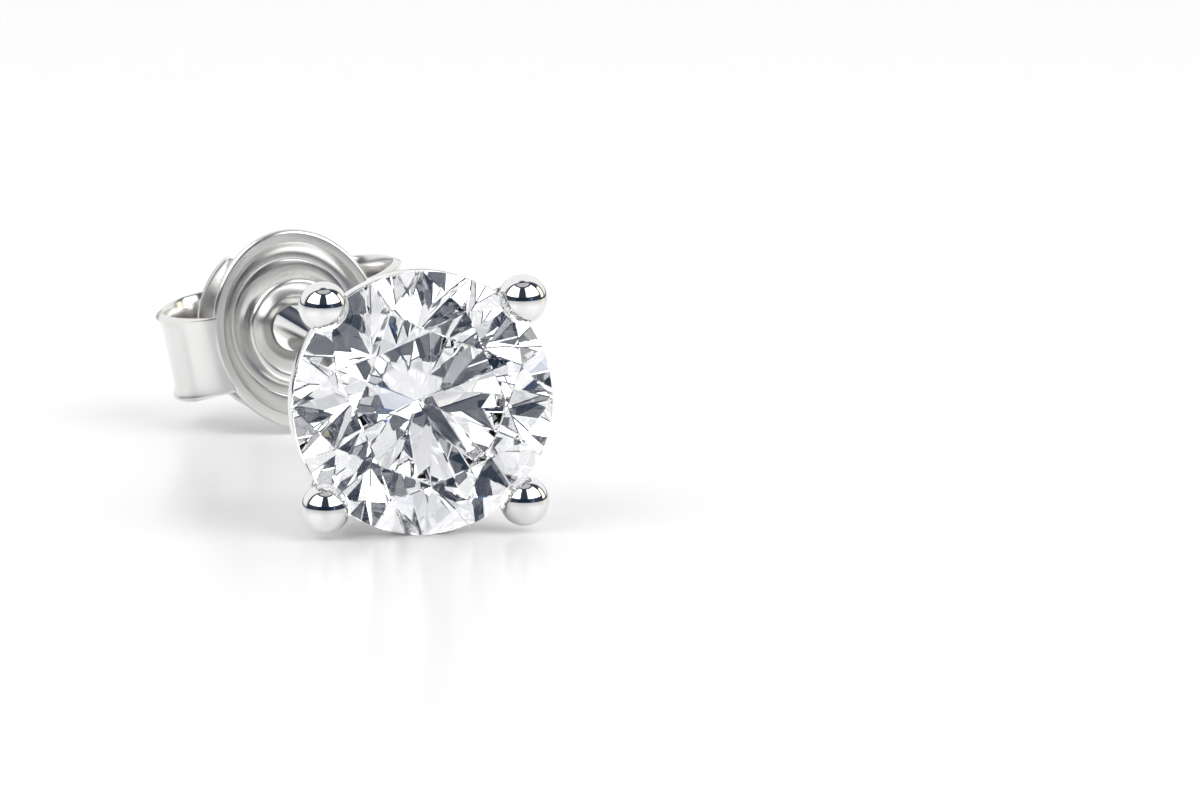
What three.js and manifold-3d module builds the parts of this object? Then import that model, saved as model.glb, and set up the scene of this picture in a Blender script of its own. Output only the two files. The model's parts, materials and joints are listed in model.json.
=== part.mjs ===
// A round brilliant stud earring on a four-prong basket, with its butterfly clutch on the post.
// Millimetres, +Z up. The stud lies as it does on a table: on its two lower prong tips and on
// the rim of the clutch. The stone faces -Y and the post runs back along +Y, dipping a little.
// Each piece is shaped about its own Y axis, with the middle of the girdle at the origin.
import * as THREE from "three";
import { mergeVertices } from "three/addons/utils/BufferGeometryUtils.js";
import Module from "manifold-3d";

// Stone
const stoneDiameter = 5.2;
const tableDiameter = 3.04; // corner to corner of the octagonal table
const crownHeight = 0.78;
const girdleThickness = 0.16; // where the main facets meet the girdle
const pavilionDepth = 2.24;
const starShare = 0.5; // star facets reach this share of the way from table to girdle
const lowerHalfShare = 0.77; // lower halves reach this share of the way from girdle to culet
const brilliantSymmetry = 8;
const arcsPerHalfFacet = 4; // straight steps of the girdle along each half facet

// Basket: four round prongs with ball tips, a gallery rail, a base cup and the post
const prongCount = 4;
const prongTipRadius = 0.49;
const prongWireRadius = 0.41;
const prongTipOutset = 0.215; // from the girdle's edge out to the centre of the ball tip
const prongTipRise = 0.16; // from the girdle's middle plane forward to the centre of the ball tip
const prongFootInset = 0.14; // from the cup's front edge in to the prong's centre line
const railHeight = 0.42;
const railWall = 0.42;
const railInset = 0.02; // the rail's outside stands this far inside the girdle's edge
const railDrop = 0.2; // from the girdle's middle plane back to the rail's front edge
const railRound = 0.1;
const seatClearance = 0.03; // between the stone and the metal cut to hold it
const culetClearance = 0.12;
const cupFrontRadius = 1.62;
const cupBackRadius = 1.4;
const cupHeight = 0.55;
const cupRound = 0.12;
const solderDepth = 0.18; // the prongs' feet and the post run this far into the cup

// Post, soldered to the cup
const postRadius = 0.42;
const postLength = 11.4; // from the back of the cup to the tip
const postNose = 0.45; // length of the rounded tip
const grooveFromTip = 1.5; // to the middle of the clutch's friction groove
const grooveWidth = 0.5;
const grooveDepth = 0.07;

// Butterfly clutch: an oval plate pressed into a dish with a collar round its hole, and a strip
// on either side rolled into a scroll that grips the post and ends in a round lobe behind the plate
const sheet = 0.18;
const plateHalfHeight = 2.07;
const plateHalfWidth = 1.74;
const lipWidth = 0.26; // flat rim of the plate, measured up its height
const dishDepth = 0.46; // from the lip's front face back to the front face in the groove
const grooveMiddleRadius = 1.4;
const collarRadius = 1.02; // crest of the raised collar
const collarRise = 0.1; // crest of the collar in front of the lip
const throatDepth = 0.3; // from the collar's crest back to the edge of the hole
const holeClearance = 0.06;
const tabHalfWidth = 0.88;
const tabRootHalfWidth = 0.8;
const tabDrop = 0.15; // the tabs' middle line passes this far below the hole
const tabFlare = 0.1; // the tab's long edges bend out of the scroll by this much
const tabRoot = 0.2; // the tab starts this far inside the plate's side
const tabRootThickness = 0.6; // share of the sheet with which the tab starts, inside the lip
const scrollHalfSpan = 2.42; // from the post's centre line out to the middle of the sheet
const scrollWidestAt = 1.2; // depth behind the plate's front face where the scroll is widest
const scrollDepth = 2.95;
const scrollBackAt = 1.42; // sideways place of the scroll's rearmost point
const gripAt = 1.95; // depth at which the scroll bears on the post
const gripClearance = 0.03;
const lobeRadius = 1.9; // round outline of the free end, about the post's centre line
const lobeDepth = 1.02; // middle of the lobe's sheet behind the plate's front face
const lobeTurn = 0.45; // sideways reach of the bend from the grip into the lobe
const lobeReach = 1.82; // from the post's centre line out to the end of the lobe
const clutchFromTip = 2.3; // from the plate's front face to the tip of the post
const clutchRoll = -12; // degrees that the clutch is turned on the post, its right side up

// Fineness of the round surfaces
const sidesOfRail = 64;
const sidesOfPlate = 52;
const sidesOfWire = 20;
const stepsOfScroll = 42;
const stepsOfDish = 14;

const wasm = await Module();
wasm.setup();

// Closed geometry to a solid that can be joined and cut, and back.
function solidOf(geometry) {
  const bare = new THREE.BufferGeometry();
  bare.setAttribute("position", geometry.getAttribute("position").clone());
  if (geometry.index) bare.setIndex(geometry.index.clone());
  const merged = mergeVertices(bare, 1e-4);
  return new wasm.Manifold(
    new wasm.Mesh({
      numProp: 3,
      vertProperties: new Float32Array(merged.attributes.position.array),
      triVerts: new Uint32Array(merged.index.array),
    }),
  );
}

function geometryOf(solid) {
  const mesh = solid.getMesh();
  const geometry = new THREE.BufferGeometry();
  geometry.setAttribute("position", new THREE.BufferAttribute(mesh.vertProperties, 3));
  geometry.setIndex(new THREE.BufferAttribute(mesh.triVerts, 1));
  const flat = geometry.toNonIndexed();
  flat.computeVertexNormals();
  return flat;
}

const profile = (pairs) => pairs.map(([radius, along]) => new THREE.Vector2(radius, along));

// Points of a quarter circle or quarter ellipse, from one tangent point to the next.
function quarter(centre, reach, fromDegrees, toDegrees, steps) {
  return Array.from({ length: steps + 1 }, (_, i) => {
    const angle = THREE.MathUtils.degToRad(THREE.MathUtils.lerp(fromDegrees, toDegrees, i / steps));
    return [centre[0] + reach[0] * Math.cos(angle), centre[1] + reach[1] * Math.sin(angle)];
  });
}

// Round brilliant: table, stars, bezels, upper halves, girdle, lower halves and pavilion mains.
// grown makes it larger all round, for cutting the seats of the prongs.
function brilliantGeometry(grown = 0) {
  const radius = stoneDiameter / 2 + grown;
  const tableRadius = tableDiameter / 2 + grown;
  const crownEdge = girdleThickness / 2 + grown;
  const sector = (2 * Math.PI) / brilliantSymmetry;
  const half = sector / 2;
  const crownSlope = crownHeight / (radius - tableRadius);
  const pavilionSlope = pavilionDepth / radius;

  const at = (r, angle, y) => new THREE.Vector3(r * Math.cos(angle), y, r * Math.sin(angle));
  const starRadius = THREE.MathUtils.lerp(tableRadius * Math.cos(half), radius, starShare);
  const starHeight = (radius - starRadius * Math.cos(half)) * crownSlope;
  const lowerRadius = radius * (1 - lowerHalfShare);
  const lowerDepth = (radius - lowerRadius * Math.cos(half)) * pavilionSlope;
  // A half facet falls away past the chord between its two girdle points, so it scallops the girdle.
  const dip = (tipRadius, tipHeight, angle) => {
    const steepness = tipHeight / ((radius - tipRadius) * Math.cos(half / 2));
    const within = (((angle % half) + half) % half) - half / 2;
    return steepness * radius * (Math.cos(within) - Math.cos(half / 2));
  };
  const crownRim = (angle) => at(radius, angle, -crownEdge + dip(starRadius, starHeight, angle));
  const pavilionRim = (angle) => at(radius, angle, crownEdge - dip(lowerRadius, lowerDepth, angle));

  const faces = [];
  const facet = (...corners) => {
    for (let i = 1; i + 1 < corners.length; i++) faces.push(corners[0], corners[i], corners[i + 1]);
  };
  const culet = at(0, 0, crownEdge + pavilionDepth);
  const tableCorner = (k) => at(tableRadius, k * sector, -crownEdge - crownHeight);
  const starTip = (k) => at(starRadius, k * sector + half, -crownEdge - starHeight);
  const lowerTip = (k) => at(lowerRadius, k * sector + half, crownEdge + lowerDepth);
  facet(...Array.from({ length: brilliantSymmetry }, (_, k) => tableCorner(k)));
  for (let k = 0; k < brilliantSymmetry; k++) {
    facet(tableCorner(k), starTip(k), tableCorner(k + 1));
    facet(tableCorner(k), starTip(k - 1), crownRim(k * sector), starTip(k));
    facet(culet, lowerTip(k), pavilionRim(k * sector), lowerTip(k - 1));
    for (const start of [k * sector, k * sector + half]) {
      for (let i = 0; i < arcsPerHalfFacet; i++) {
        const a = start + (half * i) / arcsPerHalfFacet;
        const b = start + (half * (i + 1)) / arcsPerHalfFacet;
        facet(starTip(k), crownRim(a), crownRim(b));
        facet(crownRim(a), pavilionRim(a), pavilionRim(b), crownRim(b));
        facet(lowerTip(k), pavilionRim(b), pavilionRim(a));
      }
    }
  }
  const geometry = new THREE.BufferGeometry().setFromPoints(faces);
  geometry.computeVertexNormals();
  return geometry;
}

const stoneRadius = stoneDiameter / 2;
const prongRing = stoneRadius + prongTipOutset;
const cupFront = girdleThickness / 2 + pavilionDepth + culetClearance;
const cupBack = cupFront + cupHeight;
const postTip = cupBack + postLength;

// One prong along its own axis: the ball tip at the origin, the wire running up +Y to its foot.
function prongGeometry() {
  const run = new THREE.Vector2(prongRing - (cupFrontRadius - prongFootInset), cupFront + prongTipRise);
  const length = run.length() + solderDepth;
  const neckAngle = THREE.MathUtils.radToDeg(Math.acos(prongWireRadius / prongTipRadius));
  const ball = quarter([0, 0], [prongTipRadius, prongTipRadius], -90, neckAngle, 10);
  ball[0][0] = 0;
  const outline = [...ball, [prongWireRadius, length], [0, length]];
  const lean = Math.atan2(run.x, run.y);
  return new THREE.LatheGeometry(profile(outline), sidesOfWire)
    .rotateZ(lean)
    .translate(prongRing, -prongTipRise, 0);
}

// Gallery rail under the girdle, with its outer edges rounded.
function railGeometry() {
  const outer = stoneRadius - railInset;
  const inner = outer - railWall;
  const front = railDrop;
  const back = railDrop + railHeight;
  const round = [railRound, railRound];
  const outline = [
    [inner, front],
    ...quarter([outer - railRound, front + railRound], round, -90, 0, 3),
    ...quarter([outer - railRound, back - railRound], round, 0, 90, 3),
    [inner, back],
    [inner, front],
  ];
  return new THREE.LatheGeometry(profile(outline), sidesOfRail);
}

// Base cup that the prongs' feet and the post run into, with a flat back.
function cupGeometry() {
  const outline = [
    [0, cupFront],
    [cupFrontRadius, cupFront],
    ...quarter([cupBackRadius - cupRound, cupBack - cupRound], [cupRound, cupRound], 0, 90, 4),
    [0, cupBack],
  ];
  return new THREE.LatheGeometry(profile(outline), sidesOfPlate);
}

// Post with a friction groove and a rounded tip, sunk a little into the cup it is soldered to.
function postGeometry() {
  const grooveMiddle = postTip - grooveFromTip;
  const grooveHalf = grooveWidth / 2;
  const waist = postRadius - grooveDepth;
  const outline = [
    [0, cupBack - solderDepth],
    [postRadius, cupBack - solderDepth],
    [postRadius, grooveMiddle - grooveHalf],
    [waist, grooveMiddle - grooveHalf / 3],
    [waist, grooveMiddle + grooveHalf / 3],
    [postRadius, grooveMiddle + grooveHalf],
    ...quarter([0, postTip - postNose], [postRadius, postNose], 0, 90, 6),
  ];
  outline[outline.length - 1][0] = 0;
  return new THREE.LatheGeometry(profile(outline), sidesOfWire);
}

// Basket and post are cast and soldered metal, so they are one solid, cut back for the stone.
function settingGeometry() {
  let metal = solidOf(railGeometry()).add(solidOf(cupGeometry())).add(solidOf(postGeometry()));
  for (let k = 0; k < prongCount; k++) {
    const turn = ((k + 0.5) * 2 * Math.PI) / prongCount;
    metal = metal.add(solidOf(prongGeometry().rotateY(turn)));
  }
  return geometryOf(metal.subtract(solidOf(brilliantGeometry(seatClearance))));
}

// The clutch's plate. Its front face runs from the flat lip down into the groove, over the collar
// and into the hole's throat; the rear face lies one sheet behind. Round at the hole, the plate
// is drawn in sideways to an oval at the lip.
function plateGeometry() {
  const lipInner = plateHalfHeight - lipWidth;
  const front = new THREE.SplineCurve(
    profile([
      [lipInner, 0],
      [THREE.MathUtils.lerp(grooveMiddleRadius, lipInner, 0.6), dishDepth * 0.62],
      [grooveMiddleRadius, dishDepth],
      [THREE.MathUtils.lerp(collarRadius, grooveMiddleRadius, 0.42), dishDepth * 0.45],
      [collarRadius, -collarRise],
      [THREE.MathUtils.lerp(postRadius, collarRadius, 0.45), -collarRise + throatDepth * 0.3],
      [postRadius / 2, -collarRise + throatDepth * 1.5],
    ]),
  );
  const face = [];
  const back = [];
  for (let i = 0; i <= stepsOfDish; i++) {
    const point = front.getPoint(i / stepsOfDish);
    const along = front.getTangent(i / stepsOfDish);
    face.push([point.x, point.y]);
    back.unshift([point.x + along.y * sheet, point.y - along.x * sheet]);
  }
  back[back.length - 1] = [lipInner, sheet];
  const lipEdge = quarter([plateHalfHeight - sheet / 2, sheet / 2], [sheet / 2, sheet / 2], 90, -90, 6);
  const outline = [...face, ...back, ...lipEdge, face[0]].reverse();
  const plate = new THREE.LatheGeometry(profile(outline), sidesOfPlate);
  const places = plate.getAttribute("position");
  const narrowing = 1 - plateHalfWidth / plateHalfHeight;
  for (let i = 0; i < places.count; i++) {
    const radius = Math.hypot(places.getX(i), places.getZ(i));
    const share = THREE.MathUtils.smoothstep(radius, postRadius, plateHalfHeight);
    places.setX(i, places.getX(i) * (1 - share * narrowing));
  }
  return plate;
}

// Middle line of one scroll, seen from above: out of the plate, round the side, across the back,
// forward along the post and out again behind the plate.
function scrollLine() {
  const start = plateHalfWidth - tabRoot;
  const face = sheet / 2;
  const rear = scrollDepth - sheet / 2;
  const grip = postRadius + gripClearance + sheet / 2;
  const path = new THREE.Path();
  const arc = (x, y, reachX, reachY, quarterTurn) => {
    const from = (quarterTurn * Math.PI) / 2;
    path.absellipse(x, y, reachX, reachY, from, from + Math.PI / 2);
  };
  path.moveTo(start, face);
  arc(start, scrollWidestAt, scrollHalfSpan - start, scrollWidestAt - face, -1);
  arc(scrollBackAt, scrollWidestAt, scrollHalfSpan - scrollBackAt, rear - scrollWidestAt, 0);
  arc(scrollBackAt, gripAt, scrollBackAt - grip, rear - gripAt, 1);
  arc(grip + lobeTurn, gripAt, lobeTurn, gripAt - lobeDepth, 2);
  path.lineTo(lobeReach, lobeDepth);
  return path;
}

// The strip follows its middle line. Round the scroll its long edges flare outward; in the bend
// past the post it widens into the lobe. rise moves the tab's middle line up.
function scrollGeometry(rise) {
  const stations = [-1, -0.94, -0.82, -0.5, 0, 0.5, 0.82, 0.94, 1];
  const line = scrollLine();
  const lengths = line.getCurveLengths();
  const share = (index) => lengths[index] / line.getLength();
  const { smoothstep, lerp } = THREE.MathUtils;
  const positions = [];
  for (let i = 0; i <= stepsOfScroll; i++) {
    const t = i / stepsOfScroll;
    const point = line.getPointAt(t);
    const along = line.getTangentAt(t);
    const rooted = smoothstep(t, 0, share(0));
    const half = (sheet / 2) * (i === 0 ? tabRootThickness : 1);
    const lobed = smoothstep(t, share(2), share(3));
    const lobeHalfWidth = Math.sqrt(Math.max(lobeRadius ** 2 - point.x ** 2, 0));
    const halfWidth = lerp(lerp(tabRootHalfWidth, tabHalfWidth, rooted), lobeHalfWidth, lobed);
    const flare = tabFlare * rooted * (1 - lobed);
    const middle = rise * (1 - lobed);
    const ring = (station, side) => {
      const out = side * half + flare * station ** 6;
      positions.push(point.x + along.y * out, point.y - along.x * out, middle + station * halfWidth);
    };
    stations.forEach((station) => ring(station, 1));
    stations.toReversed().forEach((station) => ring(station, -1));
  }
  const around = stations.length * 2;
  const indices = [];
  for (let i = 0; i < stepsOfScroll; i++) {
    for (let j = 0; j < around; j++) {
      const a = i * around + j;
      const b = i * around + ((j + 1) % around);
      indices.push(a, b + around, b, a, a + around, b + around);
    }
  }
  const last = stepsOfScroll * around;
  for (let j = 0; j < stations.length - 1; j++) {
    const across = around - 1 - j;
    indices.push(j, across - 1, across, j, j + 1, across - 1);
    indices.push(last + j, last + across, last + across - 1, last + j, last + across - 1, last + j + 1);
  }
  const geometry = new THREE.BufferGeometry();
  geometry.setAttribute("position", new THREE.Float32BufferAttribute(positions, 3));
  geometry.setIndex(indices);
  return geometry;
}

// The clutch is stamped from one sheet, so the plate and both scrolls are one solid.
function clutchGeometry() {
  const right = solidOf(scrollGeometry(-tabDrop));
  const left = solidOf(scrollGeometry(tabDrop).rotateY(Math.PI));
  const holeRadius = postRadius + holeClearance;
  const hole = new THREE.CylinderGeometry(holeRadius, holeRadius, 4 * dishDepth, sidesOfWire);
  const stamped = solidOf(plateGeometry()).add(right).add(left);
  return geometryOf(stamped.subtract(solidOf(hole)));
}

function piece(name, geometry, look) {
  const mesh = new THREE.Mesh(geometry, new THREE.MeshStandardMaterial(look));
  mesh.name = name;
  return mesh;
}

const whiteMetal = { color: 0xdfdedc, metalness: 1, roughness: 0.08 };
const satinMetal = { color: 0xd8d7d4, metalness: 1, roughness: 0.22 };
const brilliant = { color: 0xf6f9ff, metalness: 0, roughness: 0 };

const stone = piece("stone", brilliantGeometry(), brilliant);
const setting = piece("basket_setting", settingGeometry(), whiteMetal);
const clutch = piece("butterfly_clutch", clutchGeometry(), satinMetal);
const clutchFront = postTip - clutchFromTip;
clutch.rotation.y = THREE.MathUtils.degToRad(clutchRoll);
clutch.position.y = clutchFront;

// The resting dip: the table touches the two lower ball tips and the rounded edge of the plate.
const lipRound = sheet / 2;
const clutchTurn = clutch.rotation.y;
const plateDrop = Math.hypot(plateHalfHeight * Math.cos(clutchTurn), plateHalfWidth * Math.sin(clutchTurn));
const prongDrop = prongRing * Math.cos(Math.PI / prongCount);
const contactRun = clutchFront + lipRound + prongTipRise;
const contactRise = prongDrop - (plateDrop - lipRound);
const restDip =
  Math.atan2(contactRise, contactRun) +
  Math.asin((prongTipRadius - lipRound) / Math.hypot(contactRise, contactRun));

const stud = new THREE.Group();
stud.add(stone, setting, clutch);
stud.rotation.x = -restDip;

// The origin is under the middle of the whole stud, on the table.
const rested = new THREE.Group();
rested.add(stud);
const bounds = new THREE.Box3().setFromObject(rested, true);
const middle = bounds.getCenter(new THREE.Vector3());
rested.position.set(-middle.x, -middle.y, -bounds.min.z);

export default rested;
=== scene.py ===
"""A stud earring, a round brilliant in a four-prong basket, lying on a table with its clutch on."""

import json
import math

import bmesh
import bpy
import numpy as np
from bpy.props import FloatProperty, FloatVectorProperty, IntProperty, PointerProperty
from mathutils import Matrix, Vector


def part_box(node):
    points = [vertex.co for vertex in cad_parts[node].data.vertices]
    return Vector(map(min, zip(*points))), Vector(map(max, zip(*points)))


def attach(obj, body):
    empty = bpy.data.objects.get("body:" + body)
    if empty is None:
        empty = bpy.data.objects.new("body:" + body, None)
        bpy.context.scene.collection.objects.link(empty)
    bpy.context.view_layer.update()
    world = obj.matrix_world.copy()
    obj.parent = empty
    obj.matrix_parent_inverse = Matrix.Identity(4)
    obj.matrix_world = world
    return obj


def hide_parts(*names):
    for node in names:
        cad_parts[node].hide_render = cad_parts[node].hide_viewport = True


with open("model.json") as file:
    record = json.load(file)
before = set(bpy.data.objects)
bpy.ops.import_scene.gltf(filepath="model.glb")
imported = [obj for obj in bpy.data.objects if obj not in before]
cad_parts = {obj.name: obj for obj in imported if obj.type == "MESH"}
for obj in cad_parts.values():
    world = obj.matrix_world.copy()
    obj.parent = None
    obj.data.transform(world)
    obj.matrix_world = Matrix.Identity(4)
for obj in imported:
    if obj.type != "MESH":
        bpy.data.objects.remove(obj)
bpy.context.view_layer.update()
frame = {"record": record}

bl_info = {
    "name": "Stud Earring",
    "version": (1, 0, 0),
    "blender": (4, 5, 0),
    "location": "View3D > Sidebar > Earring",
    "description": "Dresses a prong-set stud earring and its butterfly clutch, and lights it",
    "category": "Add Mesh",
}

MM = 0.001

# The post's direction is the clutch joint's axis. It dips from the table's level by this angle.
POST_AXIS = Vector(frame["record"]["behaviour"]["joints"][0]["axis"])
REST_DIP = math.atan2(-POST_AXIS.z, POST_AXIS.y)

# Steps of the round forms, fine enough for them to look smooth
GIRDLE_ARCS = 16
LATHE_SIDES = 128
WIRE_SIDES = 96
WIRE_STEPS = 12
BALL_STEPS = 48
EDGE_STEPS = 8
CUP_STEPS = 10
NOSE_STEPS = 20
LIP_STEPS = 16
DISH_STEPS = 72
TURN_STEPS = 24
LOBE_STEPS = 12
STRIP_STEPS = 160
STRIP_COLUMNS = 33
PANEL_STEPS = 12

# A strip's wall as a share of the sheet, so that the strip lies inside its solid
STRIP_WALL = 0.97

# A profile's point nearer to the axis than this, in millimetres, lies on it
ON_AXIS = 1e-6

DIAMOND_IOR = 2.417

# Diffusers and cards round the table: spans of azimuth and elevation in degrees, and the glow.
# Azimuth 0 is in front of the stone, and 90 is at the right of the picture.
PANELS = {
    "left_box": ((-100, -29), (16, 63), (2.9, 2.9, 2.9)),
    "right_box": ((3, 80), (16, 63), (2.9, 2.9, 2.9)),
    "back_box": ((105, 255), (0.5, 80), (1.05, 1.05, 1.06)),
    "ceiling": ((-104, 104), (66, 89), (0.6, 0.6, 0.62)),
    "black_card": ((-46, 16), (-2, 19), (0.015, 0.028, 0.05)),
    "blue_card": ((26, 34), (0.5, 14), (0.12, 0.24, 0.5)),
    "cream_card": ((84, 104), (4, 40), (2.2, 1.9, 1.35)),
}


class StoneSizes(bpy.types.PropertyGroup):
    """Sizes of the round brilliant, in millimetres, and its colour"""

    diameter: FloatProperty(name="Diameter", description="Across the girdle, in mm", default=5.2)
    table: FloatProperty(name="Table", description="Table, corner to corner, in mm", default=3.04)
    crown: FloatProperty(name="Crown", description="Height of the crown, in mm", default=0.78)
    girdle: FloatProperty(name="Girdle", description="Thickness at the main facets, in mm", default=0.16)
    pavilion: FloatProperty(name="Pavilion", description="Depth of the pavilion, in mm", default=2.24)
    star: FloatProperty(
        name="Star", description="Reach of the star facets", default=0.5, subtype="FACTOR", min=0, max=1
    )
    lower_half: FloatProperty(
        name="Lower half", description="Reach of the lower halves",
        default=0.77, subtype="FACTOR", min=0, max=1,
    )
    edge_width: FloatProperty(name="Edge width", description="Polished facet edges, in mm", default=0.014)
    coating: FloatProperty(
        name="Coating", description="Share of the outer gloss left out",
        default=0.93, subtype="FACTOR", min=0, max=1,
    )
    colour: FloatVectorProperty(
        name="Colour", description="Tint of the stone",
        default=(0.985, 0.99, 1.0), subtype="COLOR", size=3,
    )


class SettingSizes(bpy.types.PropertyGroup):
    """Sizes of the basket and post, in millimetres, and the metal's colour"""

    prongs: IntProperty(name="Prongs", description="Number of prongs", default=4, min=3)
    tip_radius: FloatProperty(name="Tip radius", description="Ball tip's radius, in mm", default=0.49)
    wire_radius: FloatProperty(name="Wire radius", description="Prong wire's radius, in mm", default=0.41)
    tip_outset: FloatProperty(name="Tip outset", description="Ball past the girdle, in mm", default=0.215)
    tip_rise: FloatProperty(name="Tip rise", description="Ball before the girdle, in mm", default=0.16)
    foot_inset: FloatProperty(name="Foot inset", description="Foot inside the cup, in mm", default=0.14)
    rail_height: FloatProperty(name="Rail height", description="Gallery rail, in mm", default=0.42)
    rail_wall: FloatProperty(name="Rail wall", description="Gallery rail's wall, in mm", default=0.42)
    rail_inset: FloatProperty(name="Rail inset", description="Rail inside the girdle, in mm", default=0.02)
    rail_drop: FloatProperty(name="Rail drop", description="Rail behind the girdle, in mm", default=0.2)
    rail_round: FloatProperty(name="Rail rounding", description="Rail's outer edges, in mm", default=0.1)
    seat_clearance: FloatProperty(name="Seat clearance", description="Metal to stone, in mm", default=0.03)
    culet_clearance: FloatProperty(name="Culet clearance", description="Culet to cup, in mm", default=0.12)
    cup_front: FloatProperty(name="Cup front radius", description="Base cup's front, in mm", default=1.62)
    cup_back: FloatProperty(name="Cup back radius", description="Base cup's back, in mm", default=1.4)
    cup_height: FloatProperty(name="Cup height", description="Base cup, in mm", default=0.55)
    cup_round: FloatProperty(name="Cup rounding", description="Base cup's edge, in mm", default=0.12)
    post_radius: FloatProperty(name="Post radius", description="Post, in mm", default=0.42)
    post_length: FloatProperty(name="Post length", description="Cup to tip, in mm", default=11.4)
    post_fillet: FloatProperty(name="Post fillet", description="Solder at the cup, in mm", default=0.08)
    post_nose: FloatProperty(name="Post nose", description="Rounded tip, in mm", default=0.45)
    groove_from_tip: FloatProperty(name="Groove from tip", description="Its middle, in mm", default=1.5)
    groove_width: FloatProperty(name="Groove width", description="Friction groove, in mm", default=0.5)
    groove_depth: FloatProperty(name="Groove depth", description="Friction groove, in mm", default=0.07)
    colour: FloatVectorProperty(
        name="Colour", description="Colour of the metal",
        default=(0.81, 0.81, 0.805), subtype="COLOR", size=3,
    )


class ClutchSizes(bpy.types.PropertyGroup):
    """Sizes of the butterfly clutch, in millimetres, and the metal's colour"""

    sheet: FloatProperty(name="Sheet", description="Thickness of the sheet, in mm", default=0.18)
    half_height: FloatProperty(name="Plate half height", description="In mm", default=2.07)
    half_width: FloatProperty(name="Plate half width", description="In mm", default=1.74)
    lip: FloatProperty(name="Lip", description="Flat rim of the plate, in mm", default=0.26)
    dish: FloatProperty(name="Dish", description="Depth of the groove, in mm", default=0.46)
    groove: FloatProperty(name="Groove radius", description="Middle of the groove, in mm", default=1.4)
    collar: FloatProperty(name="Collar radius", description="Crest of the collar, in mm", default=1.02)
    collar_rise: FloatProperty(name="Collar rise", description="Crest before the lip, in mm", default=0.1)
    throat: FloatProperty(name="Throat", description="Crest back to the hole's edge, in mm", default=0.3)
    hole_clearance: FloatProperty(name="Hole clearance", description="Round the post, in mm", default=0.06)
    tab_half: FloatProperty(name="Tab half width", description="Round the scroll, in mm", default=0.88)
    tab_root_half: FloatProperty(name="Tab root half width", description="At the plate, in mm", default=0.8)
    tab_drop: FloatProperty(name="Tab drop", description="Tab's middle below the hole, in mm", default=0.15)
    tab_flare: FloatProperty(name="Tab flare", description="Outward bend of the edges, in mm", default=0.1)
    tab_root: FloatProperty(name="Tab root", description="Start inside the plate, in mm", default=0.2)
    half_span: FloatProperty(name="Scroll half span", description="Post to the sheet, in mm", default=2.42)
    widest_at: FloatProperty(name="Widest at", description="Depth of the widest point, in mm", default=1.2)
    depth: FloatProperty(name="Scroll depth", description="In mm", default=2.95)
    back_at: FloatProperty(name="Back at", description="Post to the rearmost point, in mm", default=1.42)
    grip_at: FloatProperty(name="Grip at", description="Depth of the grip on the post, in mm", default=1.95)
    grip_clearance: FloatProperty(name="Grip clearance", description="Sheet to post, in mm", default=0.03)
    lobe_radius: FloatProperty(name="Lobe radius", description="Outline of its end, in mm", default=1.9)
    lobe_depth: FloatProperty(name="Lobe depth", description="Behind the plate's lip, in mm", default=1.02)
    lobe_turn: FloatProperty(name="Lobe turn", description="Reach of the bend, in mm", default=0.45)
    lobe_reach: FloatProperty(name="Lobe reach", description="Post to the lobe's end, in mm", default=1.82)
    edge_round: FloatProperty(name="Edge rounding", description="Strip's edges, in mm", default=0.03)
    from_tip: FloatProperty(name="From tip", description="Plate to the post's tip, in mm", default=2.3)
    roll: FloatProperty(
        name="Roll", description="Turn on the post", default=math.radians(-12), subtype="ANGLE"
    )
    colour: FloatVectorProperty(
        name="Colour", description="Colour of the metal",
        default=(0.76, 0.755, 0.742), subtype="COLOR", size=3,
    )


class StudioSizes(bpy.types.PropertyGroup):
    """Table, lights and camera"""

    azimuth: FloatProperty(
        name="Azimuth", description="Camera round the stud", default=math.radians(-12.9), subtype="ANGLE"
    )
    elevation: FloatProperty(
        name="Elevation", description="Camera above the table", default=math.radians(9.35), subtype="ANGLE"
    )
    distance: FloatProperty(name="Distance", description="Camera to aim, in mm", default=260.0)
    lens: FloatProperty(name="Lens", description="Focal length for a 36 mm sensor, in mm", default=397.4)
    aim: FloatVectorProperty(
        name="Aim", description="Middle of the picture, from the girdle's centre, in mm",
        default=(3.565, 0.0, -0.073), size=3,
    )
    reach: FloatProperty(name="Reach", description="Table's middle to the diffusers, in mm", default=400.0)
    room: FloatVectorProperty(
        name="Room", description="Colour of the room between the diffusers",
        default=(0.045, 0.055, 0.08), size=3,
    )
    table_half: FloatProperty(name="Table half side", description="Square table, in mm", default=600.0)
    table_colour: FloatVectorProperty(
        name="Table colour", description="Colour of the table",
        default=(0.93, 0.93, 0.93), subtype="COLOR", size=3,
    )


def stud_matrix(stone):
    """From millimetres about the girdle's middle, post along +Y, to the frame."""
    low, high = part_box("stone")
    culet = (stone.girdle / 2 + stone.pavilion) * MM
    middle = Vector(
        (
            (low[0] + high[0]) / 2,
            high[1] - culet * math.cos(REST_DIP),
            (low[2] + high[2]) / 2,
        )
    )
    return Matrix.Translation(middle) @ Matrix.Rotation(-REST_DIP, 4, "X") @ Matrix.Scale(MM, 4)


def mesh_object(name, vertices, faces, matrix=None):
    """A new object of these vertices and faces, with its place in its mesh."""
    mesh = bpy.data.meshes.new(name)
    mesh.from_pydata([tuple(v) for v in vertices], [], [tuple(f) for f in faces])
    if matrix is not None:
        mesh.transform(matrix)
    mesh.validate()
    mesh.update()
    made = bpy.data.objects.new(name, mesh)
    bpy.context.scene.collection.objects.link(made)
    return made


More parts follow.
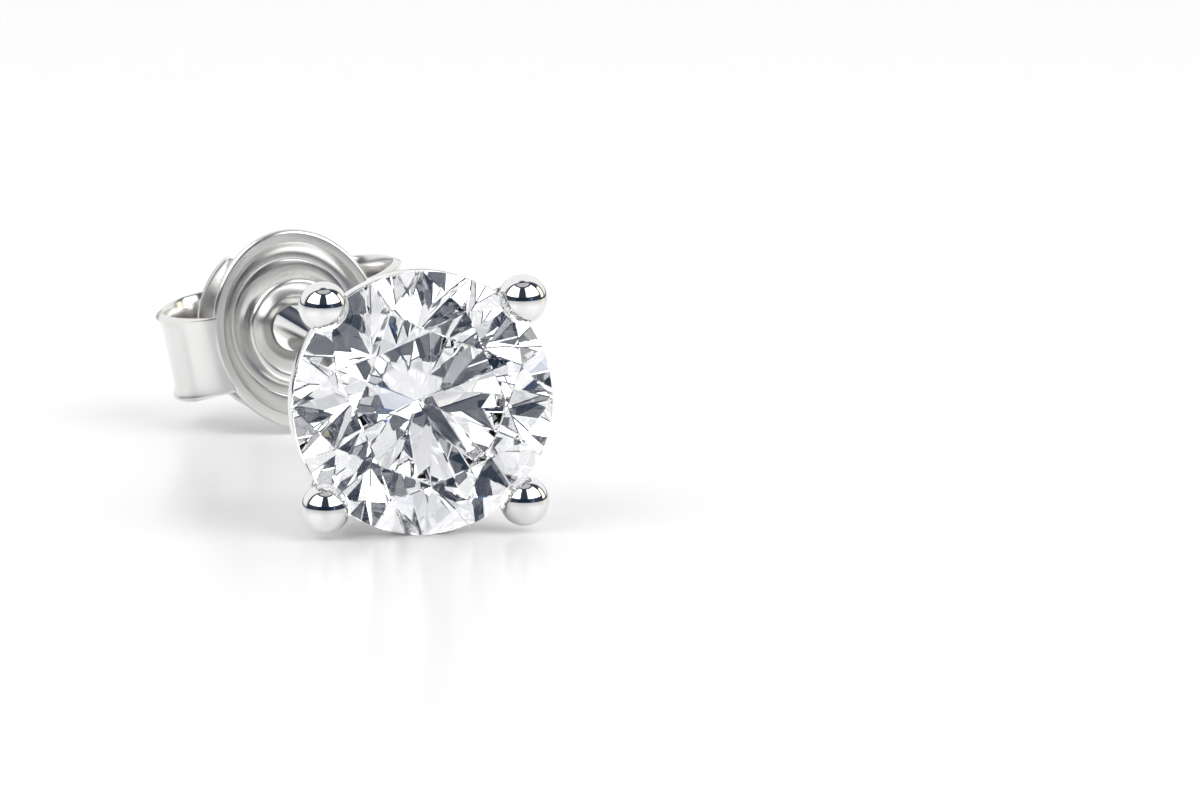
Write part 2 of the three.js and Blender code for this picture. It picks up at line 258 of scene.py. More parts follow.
def lathe(profile, sides):
    """Vertices and faces of a profile of (radius, along) turned about Y, closed on the axis or itself."""
    angles = np.arange(sides) * 2 * math.pi / sides
    vertices = []
    rings = []
    for radius, along in profile:
        if radius < ON_AXIS:
            rings.append([len(vertices)] * sides)
            vertices.append((0.0, along, 0.0))
        else:
            rings.append(list(range(len(vertices), len(vertices) + sides)))
            vertices += [(radius * math.cos(a), along, radius * math.sin(a)) for a in angles]
    pairs = list(zip(rings[:-1], rings[1:]))
    if profile[0][0] > ON_AXIS:
        pairs.append((rings[-1], rings[0]))
    faces = []
    for here, there in pairs:
        for i in range(sides):
            j = (i + 1) % sides
            corners = [here[i], here[j], there[j], there[i]]
            faces.append([c for k, c in enumerate(corners) if c not in corners[:k]])
    return vertices, faces


def arc(centre, reach, start, end, steps):
    """Points of part of an ellipse, from start to end degrees."""
    angles = [math.radians(start + (end - start) * i / steps) for i in range(steps + 1)]
    return [(centre[0] + reach[0] * math.cos(a), centre[1] + reach[1] * math.sin(a)) for a in angles]


def smoothstep(value, low, high):
    """0 up to low, 1 from high on, and an even S between them."""
    share = min(max((value - low) / (high - low), 0.0), 1.0)
    return share * share * (3 - 2 * share)


def recalculate(made):
    """Merges doubles and points the faces outward."""
    work = bmesh.new()
    work.from_mesh(made.data)
    bmesh.ops.remove_doubles(work, verts=work.verts, dist=1e-9)
    bmesh.ops.recalc_face_normals(work, faces=work.faces)
    work.to_mesh(made.data)
    work.free()
    return made


def evaluated(made):
    """Replaces the object's mesh by what its modifiers make of it, and removes them."""
    graph = bpy.context.evaluated_depsgraph_get()
    result = bpy.data.meshes.new_from_object(made.evaluated_get(graph))
    made.modifiers.clear()
    made.data = result
    return made


def cut(made, tool):
    """Takes the tool's solid out of the object."""
    boolean = made.modifiers.new("cut", "BOOLEAN")
    boolean.operation = "DIFFERENCE"
    boolean.solver = "EXACT"
    boolean.object = tool
    return evaluated(made)


def softened(made, width, segments, degrees):
    """Adds a bevel of the edges sharper than this angle, which evaluated then applies."""
    soften = made.modifiers.new("soften", "BEVEL")
    soften.width = width
    soften.segments = segments
    soften.limit_method = "ANGLE"
    soften.angle_limit = math.radians(degrees)


def joined(name, parts):
    """One object of several."""
    with bpy.context.temp_override(active_object=parts[0], selected_editable_objects=parts):
        bpy.ops.object.join()
    parts[0].name = name
    parts[0].data.name = name
    return parts[0]


def shade(made, degrees):
    """Smooth, with edges sharper than this angle left sharp."""
    made.data.shade_smooth()
    made.data.set_sharp_from_angle(angle=math.radians(degrees))


def brilliant(stone, grown=0.0):
    """Vertices and faces of a round brilliant about Y, its table toward -Y."""
    radius = stone.diameter / 2 + grown
    table_radius = stone.table / 2 + grown
    edge = stone.girdle / 2 + grown
    sector = math.pi / 4
    half = sector / 2
    crown_slope = stone.crown / (radius - table_radius)
    pavilion_slope = stone.pavilion / radius
    star_radius = table_radius * math.cos(half) * (1 - stone.star) + radius * stone.star
    star_height = (radius - star_radius * math.cos(half)) * crown_slope
    lower_radius = radius * (1 - stone.lower_half)
    lower_depth = (radius - lower_radius * math.cos(half)) * pavilion_slope

    vertices = []
    faces = []

    def at(r, angle, y):
        """Adds a corner."""
        vertices.append((r * math.cos(angle), y, r * math.sin(angle)))
        return len(vertices) - 1

    def dip(tip_radius, tip_height, angle):
        """How far a half facet cuts into the girdle between its two corners."""
        steepness = tip_height / ((radius - tip_radius) * math.cos(half / 2))
        within = angle % half - half / 2
        return steepness * radius * (math.cos(within) - math.cos(half / 2))

    count = 16 * GIRDLE_ARCS
    angles = [2 * math.pi * i / count for i in range(count)]
    crown_rim = [at(radius, a, -edge + dip(star_radius, star_height, a)) for a in angles]
    pavilion_rim = [at(radius, a, edge - dip(lower_radius, lower_depth, a)) for a in angles]
    culet = at(0, 0, edge + stone.pavilion)
    table = [at(table_radius, k * sector, -edge - stone.crown) for k in range(8)]
    stars = [at(star_radius, k * sector + half, -edge - star_height) for k in range(8)]
    lowers = [at(lower_radius, k * sector + half, edge + lower_depth) for k in range(8)]
    faces.append(table)
    for k in range(8):
        base = 2 * k * GIRDLE_ARCS
        middle = base + GIRDLE_ARCS
        faces.append([table[k], stars[k], table[(k + 1) % 8]])
        faces.append([table[k], stars[k - 1], crown_rim[base], stars[k]])
        faces.append([culet, lowers[k], pavilion_rim[base], lowers[k - 1]])
        for first in (base, middle):
            run = [(first + i) % count for i in range(GIRDLE_ARCS + 1)]
            faces.append([stars[k]] + [crown_rim[i] for i in run])
            faces.append([lowers[k]] + [pavilion_rim[i] for i in reversed(run)])
        for i in range(base, base + 2 * GIRDLE_ARCS):
            j = (i + 1) % count
            faces.append([crown_rim[i], pavilion_rim[i], pavilion_rim[j], crown_rim[j]])
    return vertices, faces


def node_group(name, inputs, outputs, kind="ShaderNodeTree"):
    """An empty node group with these sockets."""
    group = bpy.data.node_groups.new(name, kind)
    for socket, socket_type, default in inputs:
        made = group.interface.new_socket(socket, in_out="INPUT", socket_type=socket_type)
        if default is not None:
            made.default_value = default
    for socket, socket_type in outputs:
        group.interface.new_socket(socket, in_out="OUTPUT", socket_type=socket_type)
    return group


def polish_wear():
    """Faint cloudiness and hairline marks of handled, polished metal."""
    group = node_group(
        "Polish Wear",
        [("Scale", "NodeSocketFloat", 900.0), ("Roughness", "NodeSocketFloat", 0.05)],
        [("Roughness", "NodeSocketFloat"), ("Height", "NodeSocketFloat")],
    )
    nodes, links = group.nodes, group.links
    into = nodes.new("NodeGroupInput")
    out = nodes.new("NodeGroupOutput")
    place = nodes.new("ShaderNodeTexCoord")
    cloud = nodes.new("ShaderNodeTexNoise")
    cloud.inputs["Detail"].default_value = 3
    links.new(place.outputs["Object"], cloud.inputs["Vector"])
    links.new(into.outputs["Scale"], cloud.inputs["Scale"])
    spread = nodes.new("ShaderNodeMapRange")
    spread.inputs["From Min"].default_value = 0.3
    spread.inputs["From Max"].default_value = 0.7
    spread.inputs["To Min"].default_value = 0.8
    spread.inputs["To Max"].default_value = 1.25
    links.new(cloud.outputs["Fac"], spread.inputs["Value"])
    times = nodes.new("ShaderNodeMath")
    times.operation = "MULTIPLY"
    links.new(spread.outputs["Result"], times.inputs[0])
    links.new(into.outputs["Roughness"], times.inputs[1])
    links.new(times.outputs[0], out.inputs["Roughness"])
    stretch = nodes.new("ShaderNodeMapping")
    stretch.inputs["Scale"].default_value = (1.0, 7.0, 1.0)
    links.new(place.outputs["Object"], stretch.inputs["Vector"])
    hairline = nodes.new("ShaderNodeTexNoise")
    hairline.inputs["Scale"].default_value = 4000
    hairline.inputs["Detail"].default_value = 2
    links.new(stretch.outputs["Vector"], hairline.inputs["Vector"])
    links.new(hairline.outputs["Fac"], out.inputs["Height"])
    return group


def wear_group():
    """The metals' one wear group, built at its first use."""
    return bpy.data.node_groups.get("Polish Wear") or polish_wear()


def principled(name):
    """A new material and its shader."""
    material = bpy.data.materials.new(name)
    material.use_nodes = True
    return material, material.node_tree.nodes["Principled BSDF"]


def polished_metal(name, colour, roughness, relief):
    """White gold: bright, slightly warm, with the wear group's faint marks."""
    material, shader = principled(name)
    nodes, links = material.node_tree.nodes, material.node_tree.links
    shader.inputs["Base Color"].default_value = (*colour, 1)
    shader.inputs["Metallic"].default_value = 1
    marks = nodes.new("ShaderNodeGroup")
    marks.node_tree = wear_group()
    marks.inputs["Roughness"].default_value = roughness
    links.new(marks.outputs["Roughness"], shader.inputs["Roughness"])
    bump = nodes.new("ShaderNodeBump")
    bump.inputs["Strength"].default_value = relief
    bump.inputs["Distance"].default_value = 0.000002
    links.new(marks.outputs["Height"], bump.inputs["Height"])
    links.new(bump.outputs["Normal"], shader.inputs["Normal"])
    return material


def clear_stone(stone):
    """Colourless diamond, with less gloss on its outside, because gloss veils the facets."""
    colour = (*stone.colour, 1)
    material, shader = principled("diamond")
    nodes, links = material.node_tree.nodes, material.node_tree.links
    shader.inputs["Base Color"].default_value = colour
    shader.inputs["Roughness"].default_value = 0
    shader.inputs["IOR"].default_value = DIAMOND_IOR
    shader.inputs["Transmission Weight"].default_value = 1
    through = nodes.new("ShaderNodeBsdfRefraction")
    through.inputs["Color"].default_value = colour
    through.inputs["Roughness"].default_value = 0
    through.inputs["IOR"].default_value = DIAMOND_IOR
    side = nodes.new("ShaderNodeNewGeometry")
    outside = nodes.new("ShaderNodeMapRange")
    outside.inputs["To Min"].default_value = stone.coating
    outside.inputs["To Max"].default_value = 0
    links.new(side.outputs["Backfacing"], outside.inputs["Value"])
    mix = nodes.new("ShaderNodeMixShader")
    links.new(outside.outputs["Result"], mix.inputs[0])
    links.new(shader.outputs[0], mix.inputs[1])
    links.new(through.outputs[0], mix.inputs[2])
    links.new(mix.outputs[0], nodes["Material Output"].inputs["Surface"])
    return material


def prong_ring_tree(material):
    """Repeats the incoming prong round the post's axis."""
    group = node_group(
        "Prong Ring",
        [
            ("Geometry", "NodeSocketGeometry", None),
            ("Count", "NodeSocketInt", 4),
            ("Turn", "NodeSocketFloat", 0.0),
        ],
        [("Geometry", "NodeSocketGeometry")],
        "GeometryNodeTree",
    )
    nodes, links = group.nodes, group.links
    into = nodes.new("NodeGroupInput")
    out = nodes.new("NodeGroupOutput")
    points = nodes.new("GeometryNodePoints")
    links.new(into.outputs["Count"], points.inputs["Count"])
    index = nodes.new("GeometryNodeInputIndex")
    step = nodes.new("ShaderNodeMath")
    step.operation = "DIVIDE"
    step.inputs[0].default_value = 2 * math.pi
    links.new(into.outputs["Count"], step.inputs[1])
    angle = nodes.new("ShaderNodeMath")
    angle.operation = "MULTIPLY_ADD"
    links.new(index.outputs[0], angle.inputs[0])
    links.new(step.outputs[0], angle.inputs[1])
    links.new(into.outputs["Turn"], angle.inputs[2])
    turn = nodes.new("ShaderNodeCombineXYZ")
    links.new(angle.outputs[0], turn.inputs["Y"])
    copies = nodes.new("GeometryNodeInstanceOnPoints")
    links.new(points.outputs[0], copies.inputs["Points"])
    links.new(into.outputs["Geometry"], copies.inputs["Instance"])
    links.new(turn.outputs[0], copies.inputs["Rotation"])
    real = nodes.new("GeometryNodeRealizeInstances")
    links.new(copies.outputs[0], real.inputs[0])
    paint = nodes.new("GeometryNodeSetMaterial")
    paint.inputs["Material"].default_value = material
    links.new(real.outputs[0], paint.inputs["Geometry"])
    links.new(paint.outputs[0], out.inputs[0])
    return group


def set_input(modifier, name, value):
    """Sets a Geometry Nodes modifier's input by its socket's identifier."""
    for item in modifier.node_group.interface.items_tree:
        if item.item_type == "SOCKET" and item.in_out == "INPUT" and item.name == name:
            modifier[item.identifier] = value
            return
    raise KeyError(name)


def basket_metal(setting):
    """Mirror polish."""
    return bpy.data.materials.get("basket_gold") or polished_metal(
        "basket_gold", setting.colour, roughness=0.035, relief=0.12
    )


def prongs(setting, stone):
    """Ball-tipped wires from the base cup to the girdle, one shape repeated round the axis."""
    ring = stone.diameter / 2 + setting.tip_outset
    cup_front = stone.girdle / 2 + stone.pavilion + setting.culet_clearance
    run = Vector((ring - (setting.cup_front - setting.foot_inset), cup_front + setting.tip_rise))
    length = run.length + setting.cup_height / 3
    neck = math.degrees(math.acos(setting.wire_radius / setting.tip_radius))
    ball = arc((0, 0), (setting.tip_radius, setting.tip_radius), -90, neck, BALL_STEPS)
    ball[0] = (0.0, -setting.tip_radius)
    starts = [setting.tip_radius / 2 + length * i / WIRE_STEPS for i in range(WIRE_STEPS)]
    wire = [(setting.wire_radius, start) for start in starts]
    profile = ball + [p for p in wire if p[1] > ball[-1][1] and p[1] < length]
    profile += [(setting.wire_radius, length), (0.0, length)]
    vertices, faces = lathe(profile, WIRE_SIDES)
    lean = math.atan2(run.x, run.y)
    place = Matrix.Translation((ring, -setting.tip_rise, 0)) @ Matrix.Rotation(lean, 4, "Z")
    one = recalculate(mesh_object("prongs", vertices, faces, place))
    repeat = one.modifiers.new("ring", "NODES")
    repeat.node_group = prong_ring_tree(basket_metal(setting))
    set_input(repeat, "Count", setting.prongs)
    set_input(repeat, "Turn", math.pi / setting.prongs)
    return evaluated(one)


def rail(setting, stone):
    """Gallery rail that the stone's pavilion stands in."""
    outer = stone.diameter / 2 - setting.rail_inset
    inner = outer - setting.rail_wall
    front = setting.rail_drop
    back = front + setting.rail_height
    reach = (setting.rail_round, setting.rail_round)
    profile = [(inner, front)]
    profile += arc((outer - reach[0], front + reach[0]), reach, -90, 0, EDGE_STEPS)
    profile += arc((outer - reach[0], back - reach[0]), reach, 0, 90, EDGE_STEPS)
    profile += [(inner, back)]
    return recalculate(mesh_object("rail", *lathe(profile, 2 * LATHE_SIDES)))


def cup_and_post(setting, stone):
    """Base cup with its flat back, and the post soldered to it."""
    front = stone.girdle / 2 + stone.pavilion + setting.culet_clearance
    back = front + setting.cup_height
    tip = back + setting.post_length
    cup_round = (setting.cup_round, setting.cup_round)
    cup = [(0.0, front), (setting.cup_front, front)]
    cup += arc((setting.cup_back - cup_round[0], back - cup_round[0]), cup_round, 0, 90, CUP_STEPS)
    fillet = setting.post_fillet
    cup += [(setting.post_radius + fillet, back)]
    middle = (setting.post_radius + fillet, back + fillet)
    cup += arc(middle, (fillet, fillet), -100, -180, EDGE_STEPS)
    groove = tip - setting.groove_from_tip
    half = setting.groove_width / 2
    waist = setting.post_radius - setting.groove_depth
    cup += [(setting.post_radius, groove - half), (waist, groove - half / 3)]
    cup += [(waist, groove + half / 3), (setting.post_radius, groove + half)]
    nose = (setting.post_radius, setting.post_nose)
    cup += arc((0, tip - setting.post_nose), nose, 0, 90, NOSE_STEPS)
    cup[-1] = (0.0, tip)
    return recalculate(mesh_object("cup_and_post", *lathe(cup, LATHE_SIDES)))


def spline(points, steps):
    """Uniform Catmull-Rom curve through the points, with its directions."""
    held = [points[0], *points, points[-1]]
    places = []
    headings = []
    for n in range(steps + 1):
        whole = n / steps * (len(points) - 1)
        i = min(int(whole), len(points) - 2)
        t = whole - i
        p = [np.array(held[i + k], float) for k in range(4)]
        a = (p[2] - p[0]) / 2
        b = (p[3] - p[1]) / 2
        cubic = 2 * p[1] - 2 * p[2] + a + b
        square = 3 * p[2] - 3 * p[1] - 2 * a - b
        along = 3 * cubic * t**2 + 2 * square * t + a
        places.append(cubic * t**3 + square * t**2 + a * t + p[1])
        headings.append(along / np.linalg.norm(along))
    return places, headings


def plate(clutch, post_radius):
    """Oval plate: flat lip, dished groove, raised collar and the funnel to the hole."""
    lip_inner = clutch.half_height - clutch.lip
    hole = post_radius + clutch.hole_clearance
    # Radius and depth of the face, from the lip's inner edge to the hole
    line = [
        (lip_inner, 0),
        (clutch.groove + 0.6 * (lip_inner - clutch.groove), clutch.dish * 0.62),
        (clutch.groove, clutch.dish),
        (clutch.collar + 0.42 * (clutch.groove - clutch.collar), clutch.dish * 0.45),
        (clutch.collar, -clutch.collar_rise),
        (hole + 0.45 * (clutch.collar - hole), -clutch.collar_rise + clutch.throat * 0.3),
        (hole, -clutch.collar_rise + clutch.throat),
    ]
    places, headings = spline(line, DISH_STEPS)
    face = [tuple(p) for p in places]
    back = [(p[0] + h[1] * clutch.sheet, p[1] - h[0] * clutch.sheet) for p, h in zip(places, headings)]
    back[0] = (lip_inner, clutch.sheet)
    back[-1] = (hole, back[-1][1])
    half = clutch.sheet / 2
    edge = arc((clutch.half_height - half, half), (half, half), 90, -90, LIP_STEPS)
    profile = face + back[::-1] + edge
    vertices, faces = lathe(profile, 2 * LATHE_SIDES)
    oval = clutch.half_width / clutch.half_height
    squeezed = []
    for x, y, z in vertices:
        share = smoothstep(math.hypot(x, z), hole, clutch.half_height)
        squeezed.append((x * (1 - share * (1 - oval)), y, z))
    return recalculate(mesh_object("plate", squeezed, faces))


def scroll_points(clutch, post_radius):
    """Middle line of a rolled strip seen from above, from inside the lip to the lobe's end."""
    start = clutch.half_width - clutch.tab_root
    face = clutch.sheet / 2
    rear = clutch.depth - face
    grip = post_radius + clutch.grip_clearance + face
    # Centre and reach of each quarter turn: side, back, grip and the bend to the lobe
    turns = [
        ((start, clutch.widest_at), (clutch.half_span - start, clutch.widest_at - face)),
        ((clutch.back_at, clutch.widest_at), (clutch.half_span - clutch.back_at, rear - clutch.widest_at)),
        ((clutch.back_at, clutch.grip_at), (clutch.back_at - grip, rear - clutch.grip_at)),
        ((grip + clutch.lobe_turn, clutch.grip_at), (clutch.lobe_turn, clutch.grip_at - clutch.lobe_depth)),
    ]
    points = [(start, face)]
    for number, (centre, reach) in enumerate(turns):
        points += arc(centre, reach, 90 * number - 90, 90 * number, TURN_STEPS)[1:]
    for i in range(1, LOBE_STEPS + 1):
        x = grip + clutch.lobe_turn + (clutch.lobe_reach - grip - clutch.lobe_turn) * i / LOBE_STEPS
        points.append((x, clutch.lobe_depth))
    return points


def strip_tree(material):
    """A strip along the incoming line, by the line's attribute shape: half width, flare and height."""
    group = node_group(
        "Rolled Strip",
        [
            ("Geometry", "NodeSocketGeometry", None),
            ("Along", "NodeSocketInt", STRIP_STEPS),
            ("Across", "NodeSocketInt", STRIP_COLUMNS),
            ("Side", "NodeSocketFloat", 1.0),
        ],
        [("Geometry", "NodeSocketGeometry")],
        "GeometryNodeTree",
    )
    nodes, links = group.nodes, group.links
    into = nodes.new("NodeGroupInput")
    out = nodes.new("NodeGroupOutput")

    def math_of(operation, first, second, third=None):
        """A Math node on sockets or numbers, as its output."""
        node = nodes.new("ShaderNodeMath")
        node.operation = operation
        for socket, value in zip(node.inputs, (first, second, third)):
            if isinstance(value, (int, float)):
                socket.default_value = value
            elif value is not None:
                links.new(value, socket)
        return node.outputs[0]

    def vector_of(operation, first, second, scale=None):
        """A Vector Math node on sockets, as its output."""
        node = nodes.new("ShaderNodeVectorMath")
        node.operation = operation
        links.new(first, node.inputs[0])
        if second is not None:
            links.new(second, node.inputs[1])
        if scale is not None:
            links.new(scale, node.inputs["Scale"])
        return node.outputs[0]

    line = nodes.new("GeometryNodeMeshToCurve")
    links.new(into.outputs["Geometry"], line.inputs["Mesh"])
    sheet = nodes.new("GeometryNodeMeshGrid")
    sheet.inputs["Size X"].default_value = 1
    sheet.inputs["Size Y"].default_value = 2
    links.new(into.outputs["Along"], sheet.inputs["Vertices X"])
    links.new(into.outputs["Across"], sheet.inputs["Vertices Y"])
    flat = nodes.new("ShaderNodeSeparateXYZ")
    links.new(nodes.new("GeometryNodeInputPosition").outputs[0], flat.inputs[0])
    shape = nodes.new("GeometryNodeInputNamedAttribute")
    shape.data_type = "FLOAT_VECTOR"
    shape.inputs["Name"].default_value = "shape"
    sample = nodes.new("GeometryNodeSampleCurve")
    sample.mode = "FACTOR"
    sample.data_type = "FLOAT_VECTOR"
    links.new(line.outputs[0], sample.inputs["Curves"])
    links.new(shape.outputs["Attribute"], sample.inputs["Value"])
    links.new(math_of("ADD", flat.outputs["X"], 0.5), sample.inputs["Factor"])
    sizes = nodes.new("ShaderNodeSeparateXYZ")
    links.new(sample.outputs["Value"], sizes.inputs[0])
    across = flat.outputs["Y"]
    square = math_of("MULTIPLY", across, across)
    flare = math_of("MULTIPLY", sizes.outputs["Y"], math_of("POWER", square, 3))
    sideways = math_of("MULTIPLY", flare, into.outputs["Side"])
    axis = nodes.new("ShaderNodeCombineXYZ")
    axis.inputs["Z"].default_value = 1
    away = vector_of("CROSS_PRODUCT", sample.outputs["Tangent"], axis.outputs[0])
    rise = nodes.new("ShaderNodeCombineXYZ")
    links.new(math_of("MULTIPLY_ADD", across, sizes.outputs["X"], sizes.outputs["Z"]), rise.inputs["Z"])
    bent = vector_of("ADD", sample.outputs["Position"], vector_of("SCALE", away, None, sideways))
    move = nodes.new("GeometryNodeSetPosition")
    links.new(sheet.outputs["Mesh"], move.inputs["Geometry"])
    links.new(vector_of("ADD", bent, rise.outputs[0]), move.inputs["Position"])
    real = nodes.new("GeometryNodeRealizeInstances")
    links.new(move.outputs[0], real.inputs[0])
    paint = nodes.new("GeometryNodeSetMaterial")
    paint.inputs["Material"].default_value = material
    links.new(real.outputs[0], paint.inputs["Geometry"])
    links.new(paint.outputs[0], out.inputs[0])
    return group


def clutch_metal(clutch):
    """Tumbled finish, softer than the basket's."""
    return bpy.data.materials.get("clutch_gold") or polished_metal(
        "clutch_gold", clutch.colour, roughness=0.2, relief=0.01
    )


def scroll(clutch, post_radius, side):
    """One rolled strip: narrow at the plate, flared round the scroll, with a round lobe at its end."""
    points = scroll_points(clutch, post_radius)
    shape = []
    for i, (x, _) in enumerate(points):
        rooted = smoothstep(i, 0, TURN_STEPS)
        lobed = smoothstep(i, 3 * TURN_STEPS, 4 * TURN_STEPS)
        lobe_half = math.sqrt(max(clutch.lobe_radius**2 - x * x, 0))
        half = clutch.tab_root_half + (clutch.tab_half - clutch.tab_root_half) * rooted
        half += (lobe_half - half) * lobed
        shape += [half, clutch.tab_flare * rooted * (1 - lobed), -clutch.tab_drop * (1 - lobed)]
    line = bpy.data.meshes.new("scroll")
    steps = [(i, i + 1) for i in range(len(points) - 1)]
    line.from_pydata([(side * x, y, 0) for x, y in points], steps, [])
    line.attributes.new("shape", "FLOAT_VECTOR", "POINT").data.foreach_set("vector", shape)
    made = bpy.data.objects.new("scroll", line)
    bpy.context.scene.collection.objects.link(made)
    follow = made.modifiers.new("strip", "NODES")
    follow.node_group = bpy.data.node_groups.get("Rolled Strip") or strip_tree(clutch_metal(clutch))
    set_input(follow, "Along", STRIP_STEPS)
    set_input(follow, "Across", STRIP_COLUMNS)
    set_input(follow, "Side", float(side))
    made = recalculate(evaluated(made))
    wall = made.modifiers.new("wall", "SOLIDIFY")
    wall.thickness = clutch.sheet * STRIP_WALL
    wall.offset = 0
    softened(made, clutch.edge_round, segments=2, degrees=60)
    return recalculate(evaluated(made))


class EARRING_OT_stone(bpy.types.Operator):
    """Cuts the round brilliant"""

    bl_idname = "earring.stone"
    bl_label = "Stone"

    def execute(self, context):
        stone = context.scene.earring_stone
        made = recalculate(mesh_object("brilliant", *brilliant(stone)))
        softened(made, stone.edge_width, segments=1, degrees=4)
        made = evaluated(made)
        made.data.transform(stud_matrix(stone))
        made.data.materials.append(clear_stone(stone))
        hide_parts("stone")
        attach(made, "stud")
        return {"FINISHED"}


class EARRING_OT_setting(bpy.types.Operator):
    """Makes the basket, its cup and the post"""

    bl_idname = "earring.setting"
    bl_label = "Basket and post"

    def execute(self, context):
        stone = context.scene.earring_stone
        setting = context.scene.earring_setting
        seat = recalculate(mesh_object("seat", *brilliant(stone, setting.seat_clearance)))
        held = cut(prongs(setting, stone), seat)
        gallery = cut(rail(setting, stone), seat)
        made = joined("basket", [held, gallery, cup_and_post(setting, stone)])
        bpy.data.objects.remove(seat)
        made.data.transform(stud_matrix(stone))
        made.data.materials.clear()
        made.data.materials.append(basket_metal(setting))
        shade(made, degrees=32)
        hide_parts("basket_setting")
        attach(made, "stud")
        return {"FINISHED"}


class EARRING_OT_clutch(bpy.types.Operator):
    """Stamps and rolls the butterfly clutch"""

    bl_idname = "earring.clutch"
    bl_label = "Butterfly clutch"

    def execute(self, context):
        stone = context.scene.earring_stone
        setting = context.scene.earring_setting
        clutch = context.scene.earring_clutch
        parts = [plate(clutch, setting.post_radius)]
        parts += [scroll(clutch, setting.post_radius, side) for side in (-1, 1)]
        made = joined("clutch", parts)
        back = stone.girdle / 2 + stone.pavilion + setting.culet_clearance + setting.cup_height
        along = back + setting.post_length - clutch.from_tip
        made.data.transform(Matrix.Translation((0, along, 0)) @ Matrix.Rotation(clutch.roll, 4, "Y"))
        made.data.transform(stud_matrix(stone))
        made.data.materials.clear()
        made.data.materials.append(clutch_metal(clutch))
        shade(made, degrees=40)
        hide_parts("butterfly_clutch")
        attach(made, "clutch")
        return {"FINISHED"}


def soft_edge():
    """Fades from 0 at the edges of a panel's UV square to 1 inside."""
    group = node_group("Soft Edge", [("Width", "NodeSocketFloat", 0.1)], [("Inside", "NodeSocketFloat")])
    nodes, links = group.nodes, group.links
    into = nodes.new("NodeGroupInput")
    out = nodes.new("NodeGroupOutput")
    place = nodes.new("ShaderNodeTexCoord")
    split = nodes.new("ShaderNodeSeparateXYZ")
    links.new(place.outputs["UV"], split.inputs[0])
    both = nodes.new("ShaderNodeMath")
    both.operation = "MULTIPLY"
    for i in range(2):
        fold = nodes.new("ShaderNodeMath")
        fold.operation = "PINGPONG"
        fold.inputs[1].default_value = 0.5
        links.new(split.outputs[i], fold.inputs[0])
        ramp = nodes.new("ShaderNodeMapRange")
        ramp.interpolation_type = "SMOOTHSTEP"
        links.new(fold.outputs[0], ramp.inputs["Value"])
        links.new(into.outputs["Width"], ramp.inputs["From Max"])
        links.new(ramp.outputs["Result"], both.inputs[i])
    links.new(both.outputs[0], out.inputs[0])
    return group


def panel(name, azimuths, elevations, glow, studio):
    """A curved diffuser round the table, from its span of azimuth and elevation in degrees."""
    steps = PANEL_STEPS
    reach = studio.reach * MM
    corners = []
    for j in range(steps + 1):
        up = math.radians(elevations[0] + (elevations[1] - elevations[0]) * j / steps)
        for i in range(steps + 1):
            around = math.radians(azimuths[0] + (azimuths[1] - azimuths[0]) * i / steps)
            flat = reach * math.cos(up)
            corners.append((flat * math.sin(around), -flat * math.cos(around), reach * math.sin(up)))
    row = steps + 1
    firsts = [j * row + i for j in range(steps) for i in range(steps)]
    faces = [(a, a + 1, a + row + 1, a + row) for a in firsts]
    made = mesh_object(name, corners, faces)
    layer = made.data.uv_layers.new(name="UVMap")
    for loop in made.data.loops:
        layer.data[loop.index].uv = (loop.vertex_index % row / steps, loop.vertex_index // row / steps)
    material = bpy.data.materials.new(name)
    material.use_nodes = True
    nodes, links = material.node_tree.nodes, material.node_tree.links
    nodes.clear()
    edge = nodes.new("ShaderNodeGroup")
    edge.node_tree = bpy.data.node_groups.get("Soft Edge") or soft_edge()
    # A Mix node's colours are its inputs 6 and 7 and its output 2
    fade = nodes.new("ShaderNodeMix")
    fade.data_type = "RGBA"
    fade.inputs[6].default_value = (*studio.room, 1)
    fade.inputs[7].default_value = (*glow, 1)
    links.new(edge.outputs[0], fade.inputs[0])
    light = nodes.new("ShaderNodeEmission")
    links.new(fade.outputs[2], light.inputs["Color"])
    out = nodes.new("ShaderNodeOutputMaterial")
    links.new(light.outputs[0], out.inputs["Surface"])
    made.data.materials.append(material)
    made.visible_camera = False


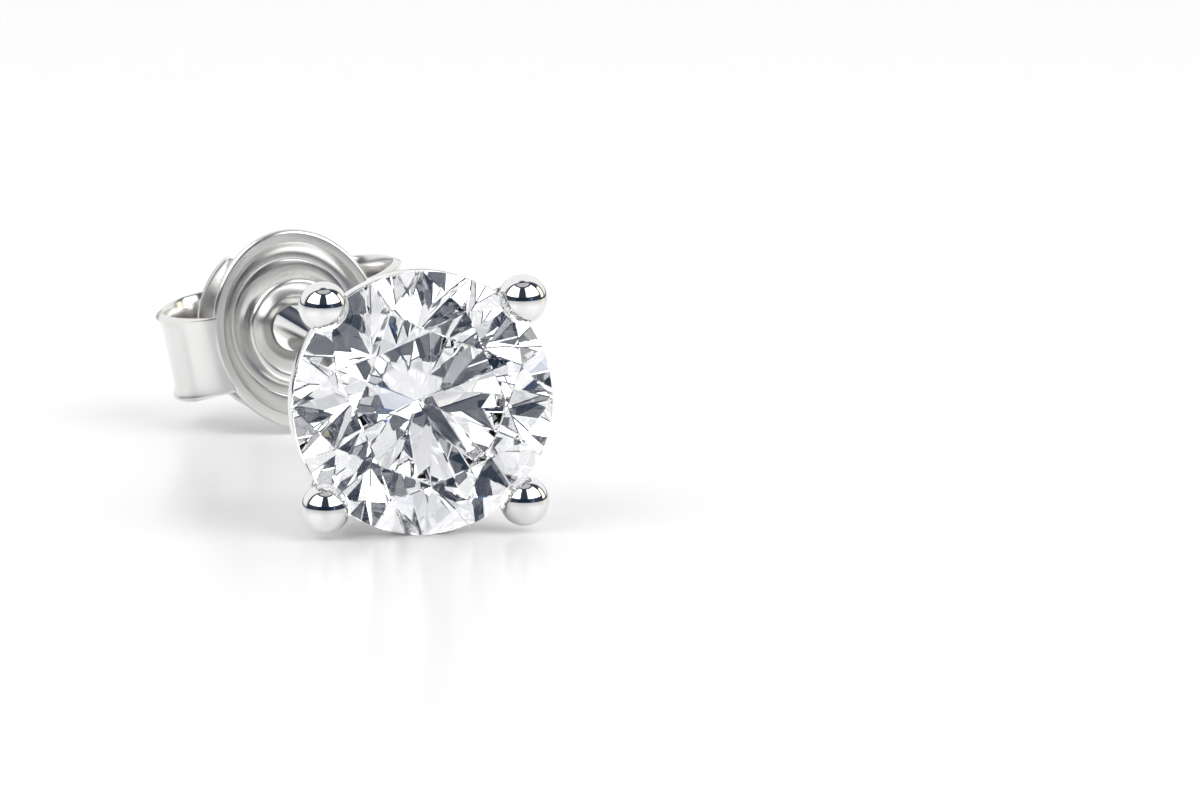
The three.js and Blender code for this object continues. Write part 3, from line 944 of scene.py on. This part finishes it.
class EARRING_OT_stage(bpy.types.Operator):
    """Sets the table, the lights and the camera"""

    bl_idname = "earring.stage"
    bl_label = "Table, lights and camera"

    def execute(self, context):
        scene = context.scene
        studio = scene.earring_studio
        side = studio.table_half * MM
        corners = [(-side, -side, 0), (side, -side, 0), (side, side, 0), (-side, side, 0)]
        table = mesh_object("table", corners, [(0, 1, 2, 3)])
        material, shader = principled("table_white")
        shader.inputs["Base Color"].default_value = (*studio.table_colour, 1)
        shader.inputs["Roughness"].default_value = 0.25
        shader.inputs["Specular IOR Level"].default_value = 0.25
        table.data.materials.append(material)

        for name, (azimuths, elevations, glow) in PANELS.items():
            panel(name, azimuths, elevations, glow, studio)

        world = bpy.data.worlds.new("studio")
        world.use_nodes = True
        nodes, links = world.node_tree.nodes, world.node_tree.links
        room = nodes["Background"]
        room.inputs["Color"].default_value = (*studio.room, 1)
        seen = nodes.new("ShaderNodeBackground")
        seen.inputs["Color"].default_value = (1, 1, 1, 1)
        path = nodes.new("ShaderNodeLightPath")
        mix = nodes.new("ShaderNodeMixShader")
        links.new(path.outputs["Is Camera Ray"], mix.inputs[0])
        links.new(room.outputs[0], mix.inputs[1])
        links.new(seen.outputs[0], mix.inputs[2])
        links.new(mix.outputs[0], nodes["World Output"].inputs["Surface"])
        scene.world = world

        lens = bpy.data.cameras.new("camera")
        lens.lens = studio.lens
        lens.sensor_width = 36
        lens.clip_start = 0.01
        lens.clip_end = 10
        camera = bpy.data.objects.new("camera", lens)
        scene.collection.objects.link(camera)
        middle = stud_matrix(scene.earring_stone).translation
        aim = middle + Vector(studio.aim) * MM
        toward = Vector(
            (
                math.sin(studio.azimuth) * math.cos(studio.elevation),
                -math.cos(studio.azimuth) * math.cos(studio.elevation),
                math.sin(studio.elevation),
            )
        )
        camera.location = aim + toward * studio.distance * MM
        camera.rotation_euler = (-toward).to_track_quat("-Z", "Y").to_euler()
        scene.camera = camera

        scene.view_settings.view_transform = "Standard"
        # Light takes long paths through the stone
        scene.cycles.max_bounces = 20
        scene.cycles.transmission_bounces = 20
        scene.cycles.glossy_bounces = 12
        scene.cycles.sample_clamp_indirect = 3
        return {"FINISHED"}


class EARRING_PT_panel(bpy.types.Panel):
    """Lists the earring's steps"""

    bl_idname = "EARRING_PT_panel"
    bl_label = "Stud Earring"
    bl_space_type = "VIEW_3D"
    bl_region_type = "UI"
    bl_category = "Earring"

    def draw(self, context):
        for step in STEPS:
            self.layout.operator(step.bl_idname)


SIZES = {
    "earring_stone": StoneSizes,
    "earring_setting": SettingSizes,
    "earring_clutch": ClutchSizes,
    "earring_studio": StudioSizes,
}
STEPS = (EARRING_OT_stage, EARRING_OT_stone, EARRING_OT_setting, EARRING_OT_clutch)


def register():
    """Registers the classes and gives the scene its sizes."""
    for made in (*SIZES.values(), *STEPS, EARRING_PT_panel):
        bpy.utils.register_class(made)
    for name, sizes in SIZES.items():
        setattr(bpy.types.Scene, name, PointerProperty(type=sizes))


def unregister():
    """Undoes register."""
    for name in SIZES:
        delattr(bpy.types.Scene, name)
    for made in (EARRING_PT_panel, *reversed(STEPS), *reversed(list(SIZES.values()))):
        bpy.utils.unregister_class(made)


def main():
    """Builds the stage and the earring."""
    register()
    bpy.ops.earring.stage()
    bpy.ops.earring.stone()
    bpy.ops.earring.setting()
    bpy.ops.earring.clutch()


if __name__ == "__main__":
    main()
